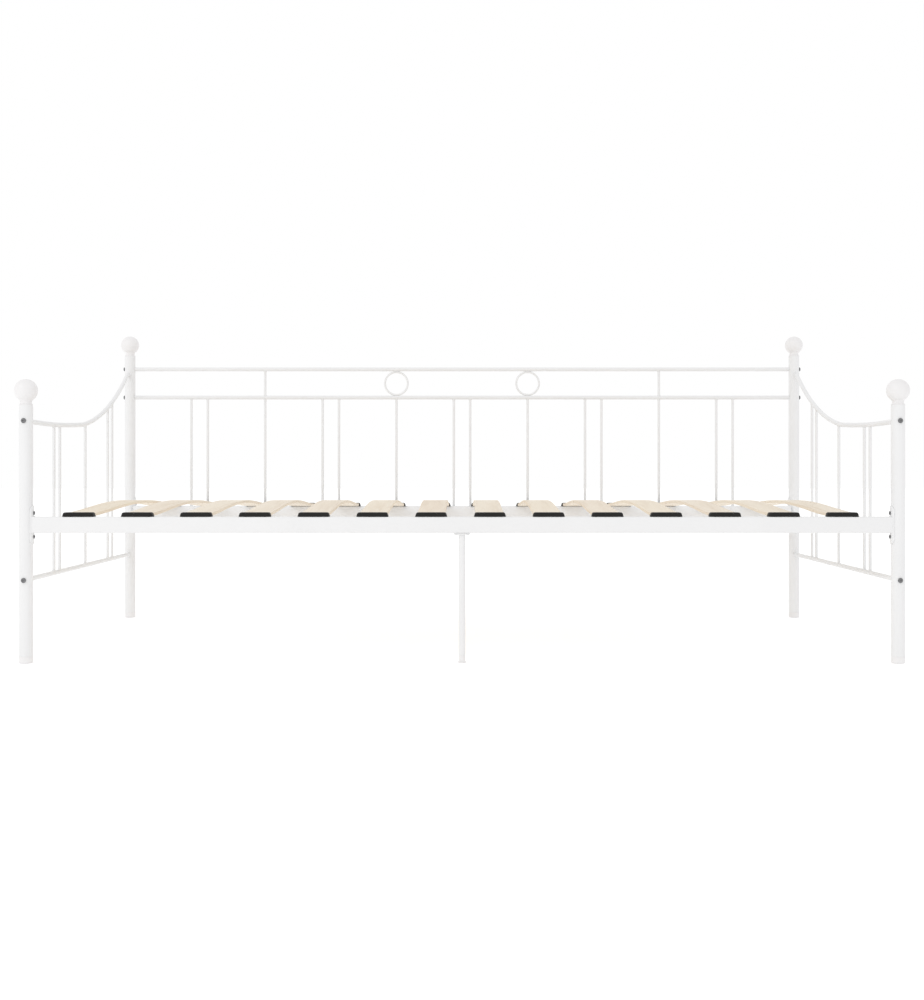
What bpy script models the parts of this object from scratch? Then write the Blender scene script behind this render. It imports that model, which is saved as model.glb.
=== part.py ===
"""A metal daybed: four posts, two welded end panels, a welded back panel, a front rail and bowed slats.

Metres, +Z up, origin on the floor under the middle of the bed. The long side lies along X, and the
open front faces -Y. The panels bolt between the posts, and two centre legs carry levelling feet.
"""

import math

import bmesh
import bpy
from mathutils import Matrix, Vector

# Spans between the posts' axes
SPAN_X = 2.06
SPAN_Y = 0.93
POST_X = SPAN_X / 2
POST_Y = SPAN_Y / 2
GAP = 0.0003

# Posts, finials and foot plugs
POST_R = 0.016
POST_WALL = 0.0015
POST_BORE_R = POST_R - POST_WALL
POST_SIDES = 24
FRONT_POST_TOP = 0.609
BACK_POST_TOP = 0.8094
FOOT_H = 0.016
SPIGOT_R = POST_BORE_R - GAP
SPIGOT_LEN = 0.020
COLLAR_R = 0.0157
COLLAR_H = 0.002
NECK_R = 0.0135
BALL_R = 0.027
BALL_RISE = 0.0344
BALL_STEPS = 10
NECK_FILLET = 0.001
FOOT_CHAMFER = 0.0015
TURNED_SIDES = 18

# Round rails, spindles and rings of the panels
RAIL_R = 0.006
RAIL_BORE_R = 0.0048
SPINDLE_R = 0.004
ROD_SIDES = 10
SPINDLE_SIDES = 8
RAIL_INSERT = 0.018
RAIL_RUN_IN = 0.003
COPE_GAP = 0.0005

# End panels
END_RAIL_Z = 0.196
END_TOP_Z = 0.5716
END_PAIR_Y = 0.24
END_PAIR_HALF = 0.0225
TOP_RAIL_MID_Z = 0.582
TOP_RAIL_START_DEG = -1.4
TOP_RAIL_MID_DEG = 3.7
TOP_RAIL_SWEEP_DEG = 8.0
TOP_RAIL_STEEP_DEG = 34.0
TOP_RAIL_BEND_R = 0.020
TOP_RAIL_STRAIGHT = 0.010

# Back panel
BACK_TOP_Z = 0.769
BACK_SECOND_Z = 0.6815
BACK_PITCH = 0.2036
BACK_PAIR_HALF = 0.0254
RING_TUBE_R = 0.0032
RING_OUTER_R = 0.0385

# Slat rails: rectangular tubes along X with a saddle plate at each end
SLAT_RAIL_H = 0.038
SLAT_RAIL_Z = 0.326
SLAT_RAIL_OUT = 0.010
SLAT_RAIL_IN = 0.020
SLAT_RAIL_WALL = 0.0015
SLAT_RAIL_TOP = SLAT_RAIL_Z + SLAT_RAIL_H / 2
SLAT_RAIL_BOTTOM = SLAT_RAIL_Z - SLAT_RAIL_H / 2
SLAT_RAIL_MID = (SLAT_RAIL_IN - SLAT_RAIL_OUT) / 2
RAIL_END_OFFSET = 0.0135
END_BLOCK = 0.012
SADDLE_IN_R = POST_R + 0.0004
SADDLE_OUT_R = 0.0185
SADDLE_H = 0.090
SADDLE_HALF_DEG = 43.0
SADDLE_BOLT_RISE = 0.028

# Slats and their end caps
SLAT_COUNT = 14
SLAT_PITCH = 0.13894
SLAT_SHIFT_X = -0.0034
SLAT_MID_Y = -0.0065
SLAT_W = 0.067
SLAT_T = 0.008
SLAT_HALF_LEN = 0.464
SLAT_END_Z = 0.3498
SLAT_CROWN_Z = 0.3692
SLAT_BOW_POWER = 1.9
SLAT_STEPS = 12
CAP_W = 0.0762
CAP_TOP_SHARE = 0.92
CAP_REACH = 0.4669
CAP_LEN = 0.028
CAP_H = 0.010
CAP_CORNER_R = 0.006
PEG_R = 0.0037
PEG_HOLE_R = 0.0041
PEG_LEN = 0.012
PEG_OFFSET = 0.4579

# Centre legs and levelling feet
LEG_R = 0.008
LEG_BORE_R = 0.0065
LEG_BOTTOM = 0.0178
LEG_INSERT = 0.020
LEG_CROWN = 0.002
STUD_R = 0.004
STUD_BORE_R = 0.0043
STUD_TOP = 0.0345
STUD_CHAMFER = 0.0006
FOOT_NECK_R = 0.0074
FOOT_NECK_TOP = LEG_BOTTOM - GAP
PAD_R = 0.0095
PAD_H = 0.0032
PAD_SIDES = 14
FLANGE_W = 0.038
FLANGE_D = 0.024
FLANGE_T = 0.003
LEG_SCREW_X = 0.0135

# Bolts, M6 with button heads, and the smaller leg screws
BOLT_R = 0.003
BOLT_HOLE_R = 0.0033
BOLT_HEAD_R = 0.006
BOLT_HEAD_H = 0.0034
BOLT_INTO_RAIL = 0.014
SADDLE_BOLT_LEN = 0.014
SADDLE_HEAD_R = 0.0047
SADDLE_HEAD_H = 0.0018
BOLT_SIDES = 8
BOSS_R = 0.0055
BOSS_LEN = 0.011
SCREW_R = 0.0022
SCREW_HEAD_R = 0.0042
SCREW_HEAD_H = 0.0019
SCREW_LEN = 0.012
SOCKET_R = 0.002
SOCKET_SHARE = 0.53
CROWN_SHARE = 0.62
RIM_SHARE = 0.35

# How far cutters run past a face, and how far they reach into a thin wall
OVERSHOOT = 0.01
WALL_REACH = 0.005
OVERLAP = 0.001


# Scene, materials and helpers


def clear_scene():
    for obj in list(bpy.data.objects):
        bpy.data.objects.remove(obj, do_unlink=True)


def new_collection(name):
    made = bpy.data.collections.new(name)
    bpy.context.scene.collection.children.link(made)
    return made


clear_scene()
PARTS = new_collection("daybed")
HELPERS = new_collection("daybed_cutters")


def make_material(name, colour, roughness, metallic=0.0):
    made = bpy.data.materials.new(name)
    made.use_nodes = True
    shader = made.node_tree.nodes["Principled BSDF"]
    shader.inputs["Base Color"].default_value = (*colour, 1.0)
    shader.inputs["Roughness"].default_value = roughness
    shader.inputs["Metallic"].default_value = metallic
    made.diffuse_color = (*colour, 1.0)
    return made


WHITE_COAT = make_material("white_powder_coat", (0.87, 0.86, 0.85), 0.45)
WHITE_PLASTIC = make_material("white_plastic", (0.86, 0.85, 0.84), 0.4)
BIRCH = make_material("birch_plywood", (0.80, 0.69, 0.53), 0.55)
BLACK_PLASTIC = make_material("black_plastic", (0.016, 0.015, 0.014), 0.55)
BOLT_STEEL = make_material("dark_zinc_steel", (0.22, 0.22, 0.22), 0.4, 1.0)


def object_from(bm, name, material, place=None):
    """A new part from a bmesh, shaded smooth except at its sharp edges."""
    mesh = bpy.data.meshes.new(name)
    bm.to_mesh(mesh)
    bm.free()
    mesh.materials.append(material)
    mesh.shade_smooth()
    mesh.set_sharp_from_angle(angle=math.radians(35))
    obj = bpy.data.objects.new(name, mesh)
    PARTS.objects.link(obj)
    if place is not None:
        obj.matrix_world = place
    return obj


def along(start, end):
    """The matrix that takes a shape centred on the Z axis to the line from start to end."""
    start, end = Vector(start), Vector(end)
    turn = (end - start).to_track_quat("Z", "Y").to_matrix().to_4x4()
    return Matrix.Translation((start + end) / 2) @ turn


def rod(name, start, end, radius, material=WHITE_COAT, sides=ROD_SIDES):
    bm = bmesh.new()
    length = (Vector(end) - Vector(start)).length
    bmesh.ops.create_cone(
        bm, cap_ends=True, segments=sides, radius1=radius, radius2=radius, depth=length
    )
    return object_from(bm, name, material, along(start, end))


def box(name, low, high, material=WHITE_COAT):
    low, high = Vector(low), Vector(high)
    bm = bmesh.new()
    bmesh.ops.create_cube(bm, size=1.0)
    bmesh.ops.scale(bm, vec=high - low, verts=bm.verts)
    return object_from(bm, name, material, Matrix.Translation((low + high) / 2))


def turned(name, profile, material, place, sides=TURNED_SIDES):
    """A solid of revolution about Z. The profile is (radius, height) points from top to bottom."""
    mesh = bpy.data.meshes.new(name)
    points = [(radius, 0.0, height) for radius, height in profile]
    mesh.from_pydata(points, [(i, i + 1) for i in range(len(points) - 1)], [])
    mesh.materials.append(material)
    obj = bpy.data.objects.new(name, mesh)
    PARTS.objects.link(obj)
    obj.matrix_world = place
    screw = obj.modifiers.new("turn", "SCREW")
    screw.steps = sides
    screw.render_steps = sides
    screw.use_merge_vertices = True
    screw.merge_threshold = 0.0001
    screw.use_smooth_shade = True
    return obj


def tube_along(name, points, radius, material=WHITE_COAT, resolution=3):
    """A closed round bar along the points, made as a bevelled curve and turned into a mesh."""
    curve = bpy.data.curves.new(name, "CURVE")
    curve.dimensions = "3D"
    curve.bevel_depth = radius
    curve.bevel_resolution = resolution
    curve.use_fill_caps = True
    spline = curve.splines.new("POLY")
    spline.points.add(len(points) - 1)
    for point, at in zip(spline.points, points):
        point.co = (*at, 1.0)
    guide = bpy.data.objects.new(name + "_guide", curve)
    PARTS.objects.link(guide)
    bpy.context.view_layer.update()
    graph = bpy.context.evaluated_depsgraph_get()
    mesh = bpy.data.meshes.new_from_object(guide.evaluated_get(graph))
    bm = bmesh.new()
    bm.from_mesh(mesh)
    bmesh.ops.remove_doubles(bm, verts=bm.verts, dist=0.00001)
    bmesh.ops.recalc_face_normals(bm, faces=bm.faces)
    place = guide.matrix_world.copy()
    bpy.data.objects.remove(guide, do_unlink=True)
    return object_from(bm, name, material, place)


def to_helpers(name, objects):
    """Moves the objects to a hidden collection of helpers of their own."""
    group = bpy.data.collections.new(name)
    HELPERS.children.link(group)
    for obj in objects:
        PARTS.objects.unlink(obj)
        group.objects.link(obj)
        obj.hide_render = True
        obj.display_type = "WIRE"
    return group


def combine(target, objects, operation):
    label = f"{target.name}_{operation.lower()}"
    step = target.modifiers.new(label, "BOOLEAN")
    step.operation = operation
    step.operand_type = "COLLECTION"
    step.collection = to_helpers(label, objects)


def weld(target, objects):
    combine(target, objects, "UNION")


def cut(target, objects):
    combine(target, objects, "DIFFERENCE")


# The end panel's top rail: two shallow arcs and a short level end at the back post


def arc_points(start, from_deg, to_deg, run, steps):
    """Points (y, z) of an arc that runs this far along Y while its slope turns between the angles."""
    a, b = math.radians(from_deg), math.radians(to_deg)
    radius = run / (math.sin(b) - math.sin(a))
    points = []
    for i in range(1, steps + 1):
        t = a + (b - a) * i / steps
        y = start[0] + radius * (math.sin(t) - math.sin(a))
        z = start[1] + radius * (math.cos(a) - math.cos(t))
        points.append((y, z))
    return points


def top_rail_path():
    """The (y, z) points of the top rail's centre line, from the front post's face to the back's."""
    end_y = POST_Y - POST_R - GAP
    bend_run = TOP_RAIL_BEND_R * math.sin(math.radians(TOP_RAIL_STEEP_DEG))
    sweep_run = end_y - TOP_RAIL_STRAIGHT - bend_run
    path = [(-end_y, END_TOP_Z)]
    path += arc_points(path[-1], TOP_RAIL_START_DEG, TOP_RAIL_MID_DEG, end_y, 5)
    path[-1] = (0.0, TOP_RAIL_MID_Z)
    path += arc_points(path[-1], TOP_RAIL_SWEEP_DEG, TOP_RAIL_STEEP_DEG, sweep_run, 8)
    path += arc_points(path[-1], TOP_RAIL_STEEP_DEG, 0.0, bend_run, 3)
    path.append((end_y, path[-1][1]))
    return path


def top_rail_z(y):
    """The height of the top rail's centre line at this y."""
    path = top_rail_path()
    for (y0, z0), (y1, z1) in zip(path, path[1:]):
        if y0 <= y <= y1:
            return z0 + (z1 - z0) * (y - y0) / (y1 - y0)
    return path[-1][1]


END_TOP_BACK_Z = top_rail_z(POST_Y)


# Posts


def post_bolts(side_y):
    """Heights of the bolts along Y that hold the end panel to this post."""
    return (END_RAIL_Z, END_TOP_Z if side_y < 0 else END_TOP_BACK_Z)


def make_post(name, side_x, side_y):
    top = FRONT_POST_TOP if side_y < 0 else BACK_POST_TOP
    x, y = side_x * POST_X, side_y * POST_Y
    post = rod(name, (x, y, FOOT_H), (x, y, top), POST_R, sides=POST_SIDES)
    bore = rod(
        name + "_bore",
        (x, y, FOOT_H - OVERSHOOT),
        (x, y, top + OVERSHOOT),
        POST_BORE_R,
        sides=POST_SIDES,
    )
    cut(post, [bore])
    bosses, holes = [], []
    for rise in (-SADDLE_BOLT_RISE, SADDLE_BOLT_RISE):
        z = SLAT_RAIL_Z + rise
        inner = x - side_x * (POST_BORE_R + POST_WALL / 2)
        bosses.append(
            rod(f"{name}_boss", (inner, y, z), (inner + side_x * BOSS_LEN, y, z), BOSS_R)
        )
        hole_in = x - side_x * (POST_R + OVERSHOOT)
        hole_out = inner + side_x * (BOSS_LEN + OVERLAP)
        holes.append(
            rod(f"{name}_saddle_hole", (hole_in, y, z), (hole_out, y, z), BOLT_HOLE_R,
                sides=BOLT_SIDES)
        )
    for z in post_bolts(side_y):
        holes.append(
            rod(f"{name}_end_hole", (x, y - POST_R - OVERSHOOT, z), (x, y + POST_R + OVERSHOOT, z),
                BOLT_HOLE_R, sides=BOLT_SIDES)
        )
    if side_y > 0:
        for z in (BACK_TOP_Z, BACK_SECOND_Z):
            holes.append(
                rod(f"{name}_back_hole", (x - POST_R - OVERSHOOT, y, z),
                    (x + POST_R + OVERSHOOT, y, z), BOLT_HOLE_R, sides=BOLT_SIDES)
            )
    weld(post, bosses)
    cut(post, holes)


def make_finial(name, x, y, tube_top):
    neck_deg = math.degrees(math.asin(NECK_R / BALL_R))
    profile = []
    for i in range(BALL_STEPS + 1):
        t = math.radians((180.0 - neck_deg) * i / BALL_STEPS)
        profile.append((BALL_R * math.sin(t), BALL_RISE + BALL_R * math.cos(t)))
    profile += [
        (NECK_R, GAP + COLLAR_H + NECK_FILLET),
        (COLLAR_R, GAP + COLLAR_H),
        (COLLAR_R, GAP),
        (SPIGOT_R, GAP),
        (SPIGOT_R, GAP - SPIGOT_LEN),
        (0.0, GAP - SPIGOT_LEN),
    ]
    turned(name, profile, WHITE_PLASTIC, Matrix.Translation((x, y, tube_top)))


def make_foot_plug(name, x, y):
    seat = FOOT_H - GAP
    profile = [
        (0.0, seat + SPIGOT_LEN),
        (SPIGOT_R, seat + SPIGOT_LEN),
        (SPIGOT_R, seat),
        (POST_R, seat),
        (POST_R, FOOT_CHAMFER),
        (POST_R - FOOT_CHAMFER, 0.0),
        (0.0, 0.0),
    ]
    turned(name, profile, WHITE_PLASTIC, Matrix.Translation((x, y, 0.0)))


# Panels


def rail_bores(name, start, end):
    """Cutters that hollow a straight rail, leaving a narrow threaded insert at each end."""
    start, end = Vector(start), Vector(end)
    step = (end - start).normalized()
    inner = rod(
        name + "_hollow", start + step * RAIL_INSERT, end - step * RAIL_INSERT, RAIL_BORE_R,
        sides=SPINDLE_SIDES,
    )
    tapped = rod(
        name + "_tapped", start - step * OVERSHOOT, end + step * OVERSHOOT, BOLT_HOLE_R,
        sides=BOLT_SIDES,
    )
    return [inner, tapped]


def post_clearance(name, x, y, low, high):
    """A cutter a little larger than a post, which copes whatever meets it."""
    return rod(name, (x, y, low), (x, y, high), POST_R + COPE_GAP, sides=POST_SIDES)


def make_end_panel(name, side_x):
    x = side_x * POST_X
    end_y = POST_Y - POST_R + RAIL_RUN_IN
    path = top_rail_path()
    front, back = path[0], path[-1]
    line = [(x, -end_y, front[1])] + [(x, y, z) for y, z in path[1:-1]] + [(x, end_y, back[1])]
    panel = tube_along(name, line, RAIL_R)
    pieces = [rod(name + "_bottom", (x, -end_y, END_RAIL_Z), (x, end_y, END_RAIL_Z), RAIL_R)]
    spindle_ys = [0.0]
    for side in (-1, 1):
        for offset in (-END_PAIR_HALF, END_PAIR_HALF):
            spindle_ys.append(side * END_PAIR_Y + offset)
    for y in spindle_ys:
        pieces.append(
            rod(name + "_spindle", (x, y, END_RAIL_Z), (x, y, top_rail_z(y)), SPINDLE_R,
                sides=SPINDLE_SIDES)
        )
    weld(panel, pieces)
    bores = rail_bores(name + "_bottom", (x, -end_y, END_RAIL_Z), (x, end_y, END_RAIL_Z))
    bores.append(tube_along(name + "_top_hollow", line[1:-2], RAIL_BORE_R, resolution=2))
    bores.append(
        rod(name + "_front_tap", (x, -POST_Y, front[1]), (x, line[1][1] + OVERSHOOT, front[1]),
            BOLT_HOLE_R, sides=BOLT_SIDES)
    )
    bores.append(
        rod(name + "_back_tap", (x, back[0] - RAIL_INSERT, back[1]), (x, POST_Y, back[1]),
            BOLT_HOLE_R, sides=BOLT_SIDES)
    )
    for side_y in (-1, 1):
        bores.append(post_clearance(name + "_cope", x, side_y * POST_Y, FOOT_H, BACK_POST_TOP))
    cut(panel, bores)


def saddle_plate(name, side_x, y):
    """A bent plate that hugs the inner side of a post, with rounded upper and lower corners."""
    x = side_x * POST_X
    z_low, z_high = SLAT_RAIL_Z - SADDLE_H / 2, SLAT_RAIL_Z + SADDLE_H / 2
    plate = rod(name, (x, y, z_low), (x, y, z_high), SADDLE_OUT_R, sides=POST_SIDES)
    reach = SADDLE_OUT_R * math.cos(math.radians(SADDLE_HALF_DEG))
    inner = x - side_x * reach
    far = x + side_x * (SADDLE_OUT_R + OVERSHOOT)
    waste = box(
        name + "_waste",
        (min(inner, far), y - SADDLE_OUT_R - OVERSHOOT, z_low - OVERSHOOT),
        (max(inner, far), y + SADDLE_OUT_R + OVERSHOOT, z_high + OVERSHOOT),
    )
    cut(plate, [waste])
    return plate


def slat_rail_parts(name, y, inward):
    """The pieces and cutters of a slat rail; inward is the direction of the bed's middle along Y."""
    half = POST_X - RAIL_END_OFFSET
    outer_y, inner_y = y - inward * SLAT_RAIL_OUT, y + inward * SLAT_RAIL_IN
    low_y, high_y = min(outer_y, inner_y), max(outer_y, inner_y)
    tube = box(name, (-half, low_y, SLAT_RAIL_BOTTOM), (half, high_y, SLAT_RAIL_TOP))
    pieces, cutters = [], []
    hollow = half - END_BLOCK
    wall = SLAT_RAIL_WALL
    cutters.append(
        box(name + "_hollow", (-hollow, low_y + wall, SLAT_RAIL_BOTTOM + wall),
            (hollow, high_y - wall, SLAT_RAIL_TOP - wall))
    )
    for side_x in (-1, 1):
        pieces.append(saddle_plate(f"{name}_saddle_{side_x}", side_x, y))
        x = side_x * POST_X
        cutters.append(
            rod(f"{name}_seat", (x, y, SLAT_RAIL_Z - SADDLE_H), (x, y, SLAT_RAIL_Z + SADDLE_H),
                SADDLE_IN_R, sides=POST_SIDES)
        )
        for rise in (-SADDLE_BOLT_RISE, SADDLE_BOLT_RISE):
            z = SLAT_RAIL_Z + rise
            past = x - side_x * (SADDLE_OUT_R + OVERSHOOT)
            cutters.append(
                rod(f"{name}_bolt_hole", (x, y, z), (past, y, z), BOLT_HOLE_R, sides=BOLT_SIDES)
            )
    peg_y = SLAT_MID_Y - inward * PEG_OFFSET
    for i in range(SLAT_COUNT):
        x = slat_x(i)
        cutters.append(
            rod(f"{name}_peg_hole", (x, peg_y, SLAT_RAIL_TOP - WALL_REACH),
                (x, peg_y, SLAT_RAIL_TOP + WALL_REACH), PEG_HOLE_R, sides=BOLT_SIDES)
        )
    mid_y = y + inward * SLAT_RAIL_MID
    for side_x in (-1, 1):
        x = side_x * LEG_SCREW_X
        cutters.append(
            rod(f"{name}_leg_hole", (x, mid_y, SLAT_RAIL_BOTTOM - WALL_REACH),
                (x, mid_y, SLAT_RAIL_BOTTOM + WALL_REACH), SCREW_R + GAP, sides=BOLT_SIDES)
        )
    return tube, pieces, cutters


def slat_x(i):
    return SLAT_SHIFT_X + (i - (SLAT_COUNT - 1) / 2) * SLAT_PITCH


def make_front_rail():
    rail, pieces, cutters = slat_rail_parts("front_rail", -POST_Y, 1)
    weld(rail, pieces)
    cut(rail, cutters)


def make_back_panel():
    y = POST_Y
    panel, pieces, cutters = slat_rail_parts("back_panel", y, -1)
    half = POST_X - POST_R + RAIL_RUN_IN
    for label, z in (("top", BACK_TOP_Z), ("second", BACK_SECOND_Z)):
        pieces.append(rod(f"back_{label}_rail", (-half, y, z), (half, y, z), RAIL_R))
        cutters += rail_bores(f"back_{label}_rail", (-half, y, z), (half, y, z))
    root = SLAT_RAIL_TOP - SLAT_RAIL_WALL / 2
    for side in (-1, 1):
        for offset in (
            BACK_PAIR_HALF,
            BACK_PITCH,
            2 * BACK_PITCH - BACK_PAIR_HALF,
            2 * BACK_PITCH + BACK_PAIR_HALF,
            3 * BACK_PITCH,
            4 * BACK_PITCH - BACK_PAIR_HALF,
            4 * BACK_PITCH + BACK_PAIR_HALF,
        ):
            x = side * offset
            pieces.append(
                rod("back_spindle", (x, y, root), (x, y, BACK_SECOND_Z), SPINDLE_R,
                    sides=SPINDLE_SIDES)
            )
        x = side * 3 * BACK_PITCH
        pieces.append(
            rod("back_strut", (x, y, BACK_SECOND_Z), (x, y, BACK_TOP_Z), SPINDLE_R,
                sides=SPINDLE_SIDES)
        )
        pieces.append(back_ring(side * BACK_PITCH))
        cutters.append(
            post_clearance("back_cope", side * POST_X, y, SLAT_RAIL_Z + SADDLE_H, BACK_POST_TOP)
        )
    weld(panel, pieces)
    cut(panel, cutters)


def back_ring(x):
    bpy.ops.mesh.primitive_torus_add(
        major_segments=24,
        minor_segments=8,
        major_radius=RING_OUTER_R - RING_TUBE_R,
        minor_radius=RING_TUBE_R,
        location=(x, POST_Y, (BACK_TOP_Z + BACK_SECOND_Z) / 2),
        rotation=(math.pi / 2, 0.0, 0.0),
    )
    ring = bpy.context.object
    ring.name = "back_ring"
    ring.data.materials.append(WHITE_COAT)
    for collection in list(ring.users_collection):
        collection.objects.unlink(ring)
    PARTS.objects.link(ring)
    return ring


# Slats


def slat_mid_z(y):
    """The height of the slat's middle surface at y from its middle: a bow that runs out level at its ends."""
    share = 1 - (y / SLAT_HALF_LEN) ** 2
    return SLAT_END_Z + (SLAT_CROWN_Z - SLAT_END_Z) * share**SLAT_BOW_POWER


def end_cap(name, x, side_y):
    """A holder on the rail, level underneath and on top, and narrower at the top."""
    bm = bmesh.new()
    bmesh.ops.create_cube(bm, size=1.0)
    bmesh.ops.scale(bm, vec=(CAP_W, CAP_LEN, CAP_H), verts=bm.verts)
    upright = [e for e in bm.edges if abs(e.verts[0].co.z - e.verts[1].co.z) > CAP_H / 2]
    bmesh.ops.bevel(bm, geom=upright, offset=CAP_CORNER_R, segments=1, affect="EDGES")
    for vert in bm.verts:
        if vert.co.z > 0:
            vert.co.x *= CAP_TOP_SHARE
    y = SLAT_MID_Y + side_y * (CAP_REACH - CAP_LEN / 2)
    z = SLAT_RAIL_TOP + GAP + CAP_H / 2
    return object_from(bm, name, BLACK_PLASTIC, Matrix.Translation((x, y, z)))


def make_slat(i):
    name = f"slat_{i + 1:02d}"
    x = slat_x(i)
    bm = bmesh.new()
    bmesh.ops.create_grid(bm, x_segments=1, y_segments=SLAT_STEPS, size=0.5)
    for vert in bm.verts:
        y = vert.co.y * 2 * SLAT_HALF_LEN
        vert.co = (vert.co.x * SLAT_W, y, slat_mid_z(y))
    slat = object_from(bm, name, BIRCH, Matrix.Translation((x, SLAT_MID_Y, 0.0)))
    thick = slat.modifiers.new("thickness", "SOLIDIFY")
    thick.thickness = SLAT_T
    thick.offset = 0.0
    pieces = []
    for side_y in (-1, 1):
        pieces.append(end_cap(name + "_cap", x, side_y))
        seat = SLAT_RAIL_TOP + GAP + CAP_H / 4
        y = SLAT_MID_Y + side_y * PEG_OFFSET
        pieces.append(
            rod(name + "_peg", (x, y, SLAT_RAIL_TOP - PEG_LEN), (x, y, seat), PEG_R,
                BLACK_PLASTIC, SPINDLE_SIDES)
        )
    weld(slat, pieces)


# Centre legs and their levelling feet


def make_leg(name, y):
    top = SLAT_RAIL_BOTTOM - GAP
    leg = rod(name, (0, y, LEG_BOTTOM), (0, y, top - FLANGE_T / 2), LEG_R)
    flange = box(
        name + "_flange",
        (-FLANGE_W / 2, y - FLANGE_D / 2, top - FLANGE_T),
        (FLANGE_W / 2, y + FLANGE_D / 2, top),
    )
    weld(leg, [flange])
    holes = [
        rod(name + "_tapped", (0, y, LEG_BOTTOM - OVERSHOOT), (0, y, LEG_BOTTOM + LEG_INSERT + OVERLAP),
            STUD_BORE_R, sides=PAD_SIDES),
        rod(name + "_hollow", (0, y, LEG_BOTTOM + LEG_INSERT), (0, y, top - FLANGE_T - LEG_CROWN),
            LEG_BORE_R),
    ]
    for side_x in (-1, 1):
        x = side_x * LEG_SCREW_X
        holes.append(
            rod(name + "_screw_hole", (x, y, top - OVERSHOOT), (x, y, top + OVERSHOOT),
                SCREW_R + GAP, sides=BOLT_SIDES)
        )
    cut(leg, holes)


def make_levelling_foot(name, y):
    """A pad on the floor with a stud that screws up into the leg; its origin is on the stud's axis."""
    profile = [
        (0.0, STUD_TOP),
        (STUD_R - STUD_CHAMFER, STUD_TOP),
        (STUD_R, STUD_TOP - STUD_CHAMFER),
        (STUD_R, FOOT_NECK_TOP),
        (FOOT_NECK_R, FOOT_NECK_TOP),
        (FOOT_NECK_R, PAD_H),
        (PAD_R, PAD_H / 2),
        (PAD_R, 0.0),
        (0.0, 0.0),
    ]
    turned(name, profile, WHITE_PLASTIC, Matrix.Translation((0, y, 0)), sides=PAD_SIDES)


# Fasteners


def make_bolt(
    name, seat, direction, length, radius=BOLT_R, head_r=BOLT_HEAD_R, head_h=BOLT_HEAD_H,
    material=BOLT_STEEL,
):
    """A domed bolt with a hexagon socket, its head's underside at seat and its shank along direction."""
    tip = Vector(seat) + Vector(direction) * length
    place = along(tip, seat)
    place.translation = Vector(seat)
    profile = [
        (0.0, head_h),
        (head_r * CROWN_SHARE, head_h),
        (head_r, head_h * RIM_SHARE),
        (head_r, 0.0),
        (radius, 0.0),
        (radius, -length),
        (0.0, -length),
    ]
    bolt = turned(name, profile, material, place, sides=BOLT_SIDES)
    out = -Vector(direction)
    face = Vector(seat) + out * head_h
    depth = head_h * SOCKET_SHARE
    key = rod(name + "_key", face - out * depth, face + out * OVERSHOOT, SOCKET_R, sides=6)
    cut(bolt, [key])


def side_name(side):
    return "right" if side > 0 else "left"


def make_post_bolts(side_x, side_y):
    corner = f"{'back' if side_y > 0 else 'front'}_{side_name(side_x)}"
    x, y = side_x * POST_X, side_y * POST_Y
    seat_gap = POST_R + GAP
    reach = 2 * POST_R + BOLT_INTO_RAIL
    for label, z in zip(("lower", "upper"), post_bolts(side_y)):
        make_bolt(f"end_bolt_{corner}_{label}", (x, y + side_y * seat_gap, z), (0, -side_y, 0), reach)
    for label, rise in (("lower", -SADDLE_BOLT_RISE), ("upper", SADDLE_BOLT_RISE)):
        seat_x = x - side_x * (SADDLE_OUT_R + GAP)
        make_bolt(
            f"saddle_bolt_{corner}_{label}", (seat_x, y, SLAT_RAIL_Z + rise), (side_x, 0, 0),
            SADDLE_BOLT_LEN, head_r=SADDLE_HEAD_R, head_h=SADDLE_HEAD_H,
        )
    if side_y > 0:
        for label, z in (("lower", BACK_SECOND_Z), ("upper", BACK_TOP_Z)):
            make_bolt(
                f"back_bolt_{side_name(side_x)}_{label}", (x + side_x * seat_gap, y, z),
                (-side_x, 0, 0), reach,
            )


def make_leg_screws(label, y):
    z = SLAT_RAIL_BOTTOM - FLANGE_T - 2 * GAP
    for side_x in (-1, 1):
        make_bolt(
            f"leg_screw_{label}_{side_name(side_x)}", (side_x * LEG_SCREW_X, y, z), (0, 0, 1),
            SCREW_LEN, SCREW_R, SCREW_HEAD_R, SCREW_HEAD_H, WHITE_COAT,
        )


# The whole daybed

for SIDE_Y, ROW, TOP in ((-1, "front", FRONT_POST_TOP), (1, "back", BACK_POST_TOP)):
    for SIDE_X in (-1, 1):
        CORNER = f"{ROW}_{side_name(SIDE_X)}"
        make_post("post_" + CORNER, SIDE_X, SIDE_Y)
        make_finial("finial_" + CORNER, SIDE_X * POST_X, SIDE_Y * POST_Y, TOP)
        make_foot_plug("foot_plug_" + CORNER, SIDE_X * POST_X, SIDE_Y * POST_Y)
        make_post_bolts(SIDE_X, SIDE_Y)
    LEG_Y = SIDE_Y * (POST_Y - SLAT_RAIL_MID)
    make_leg("centre_leg_" + ROW, LEG_Y)
    make_levelling_foot("levelling_foot_" + ROW, LEG_Y)
    make_leg_screws(ROW, LEG_Y)

for SIDE_X in (-1, 1):
    make_end_panel("end_panel_" + side_name(SIDE_X), SIDE_X)
make_front_rail()
make_back_panel()
for SLAT in range(SLAT_COUNT):
    make_slat(SLAT)
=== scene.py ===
"""The looks of the metal daybed: smooth coated tubes, ball finials, bowed plywood slats in dark holders,
button-head bolts, a white studio and the camera. Metres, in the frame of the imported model."""

import math

import bmesh
import bpy
from mathutils import Matrix, Vector


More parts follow.
